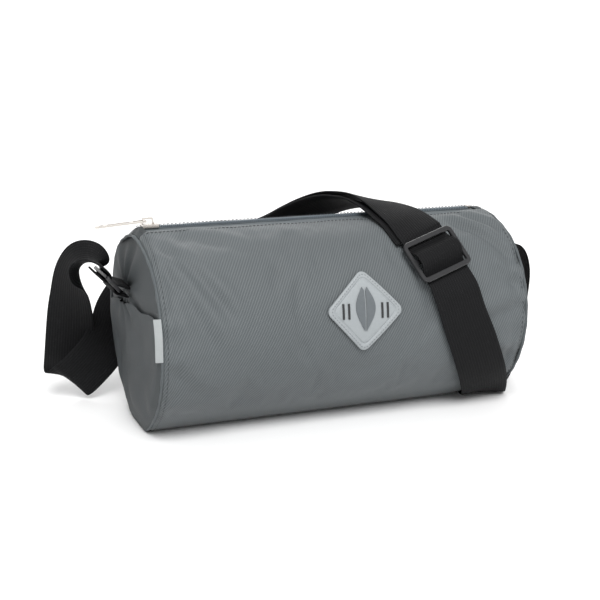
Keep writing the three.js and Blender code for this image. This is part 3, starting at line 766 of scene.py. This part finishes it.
def make_strap():
    left, lo = ring_bend("left")
    right, ro = ring_bend("right")
    start = [[left[0][0] + d * lo[0], 15, left[0][2] + d * lo[2], 0, -1, 0] for d in (7, 3.4)]
    stop = [[right[-1][0] + d * ro[0], 15, right[-1][2] + d * ro[2], 0, -1, 0] for d in (3.4, 7)]
    glide = [on_glide(s, h) for s, h in THREADED]
    middle = [left[-1], *LEFT_LOOP, *glide, *DOWN, right[0]]
    fine = [*start, *left[:-1], *catmull(middle, SPLINE_STEPS), *right[1:], *stop]
    frames = frames_of(fine)
    o = band("strap_webbing", frames, WEBBING_WIDTH, 0.0016)
    modify(o, "SUBSURF", levels=1, render_levels=1)
    apply_all(o)
    finish_piece(o, WEBBING, "webbing", "shoulder_strap")
    lead = len(start) + len(left) - 1
    first = lead + SPLINE_STEPS * RETURN_FROM
    last = lead + SPLINE_STEPS * (len(LEFT_LOOP) + 1)
    under = [(c - m * (0.0021 + 0.0025 * bell((i - 40) / 60, 0.4)) + w * -0.004 * smooth(6, 30, i), w, m)
             for i, (c, w, m) in enumerate(frames[first:last + 4])]
    b = band("strap_return_webbing", under, WEBBING_WIDTH - 0.001, 0.0015)
    finish_piece(b, WEBBING, "webbing", "strap_return_layer")


def make_anchor_loops():
    for side, s in (("left", -1), ("right", 1)):
        (ix, iz), _ = RINGS[side]
        foot = (s * 149.0, iz - 3.2)
        d = Vector((ix - foot[0], 0, iz - foot[1])).normalized()
        n = Vector((-d.z, 0, d.x))
        base = math.atan2(d.z, d.x)
        pts = [Vector((foot[0], 15, foot[1])) + n * 3.2]
        for k in range(13):
            a = base + math.radians(90 - 15 * k)
            pts.append(Vector((ix + 3.2 * math.cos(a), 15, iz + 3.2 * math.sin(a))))
        pts.append(Vector((foot[0], 15, foot[1])) - n * 3.2)
        o = band(f"anchor_loop_{side}", frames_of([[*p, 0, -1, 0] for p in pts]), 0.036, 0.0014)
        finish_piece(o, WEBBING, "webbing", f"anchor_tab_{side}")


def make_label():
    lo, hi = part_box("side_label")

    def at(u, v):
        z = lo.z + 0.0006 + (hi.z - lo.z - 0.0012) * v
        h = math.sqrt(max(0, 0.0748 ** 2 - (z - AXIS_HEIGHT) ** 2))
        x = -0.1444 - 0.0054 * u
        return (x, -h - 0.0006 + 0.0012 * u * u + 0.0003 * math.sin(v * 7), z)

    o = grid_mesh("side_label_woven", 8, 30, at, lambda u, v: (u * 0.006, v * 0.031))
    thicken(o, 0.0010, 1, 0)
    finish_piece(o, LABEL, "label", "side_label")


def dress_cad():
    for names, mat in (
        (("slider_body", "zip_puller", "zip_stop_right"), METAL),
        (("tri_glide", "strap_ring_left", "strap_ring_right"), PLASTIC),
        (("patch_bar_1", "patch_bar_2", "patch_bar_3", "patch_bar_4"), SLOT_BLACK),
        (("patch_leaf_left", "patch_leaf_right"), EMBLEM),
    ):
        for n in names:
            for s in bpy.data.objects[n].material_slots:
                s.link = "OBJECT"
                s.material = mat


TWILL = twill()
PLAIN = weave("end_fabric", (0.028, 0.032, 0.034), (0.072, 0.080, 0.084), 0.0009, 0.66)
LINING = weave("lining", (0.018, 0.019, 0.02), (0.04, 0.042, 0.045), 0.001)
SEAM = weave("seam_fabric", (0.05, 0.057, 0.06), (0.12, 0.135, 0.142), 0.001, 0.62)
TAPE = weave("zip_tape", (0.075, 0.086, 0.092), (0.13, 0.147, 0.155), 0.0011)
WEBBING = webbing()
LABEL = weave("label", (0.22, 0.235, 0.24), (0.42, 0.44, 0.44), 0.0008)
COIL = plain("zip_coil", (0.10, 0.125, 0.145), 0.38, 0.1, 200)
METAL = plain("nickel", (0.62, 0.58, 0.54), 0.27, 0.08, 260, metal=1.0, distance=0.00003)
PLASTIC = plain("black_plastic", (0.012, 0.012, 0.0135), 0.3, 0.15, 220, spec=0.55, distance=0.00002)
RUBBER = plain("patch_rubber", (0.27, 0.29, 0.30), 0.55, 0.06, 500, distance=0.00004)
# Flat near-black colour on the patch's four raised slot bars.
SLOT_BLACK = plain("patch_ink", (0.018, 0.019, 0.02), 0.6, 0.1, 400)
EMBLEM = plain("patch_emblem", (0.10, 0.112, 0.12), 0.5, 0.08, 400)
THREAD = plain("thread", (0.035, 0.039, 0.042), 0.7, 0.15, 900)
PATCH_THREAD = plain("patch_thread", (0.17, 0.18, 0.19), 0.7, 0.1, 900)

make_stage()
make_shell()
make_lining()
make_ends()
make_pocket()
make_zip()
make_patch()
make_strap()
make_anchor_loops()
make_label()
dress_cad()
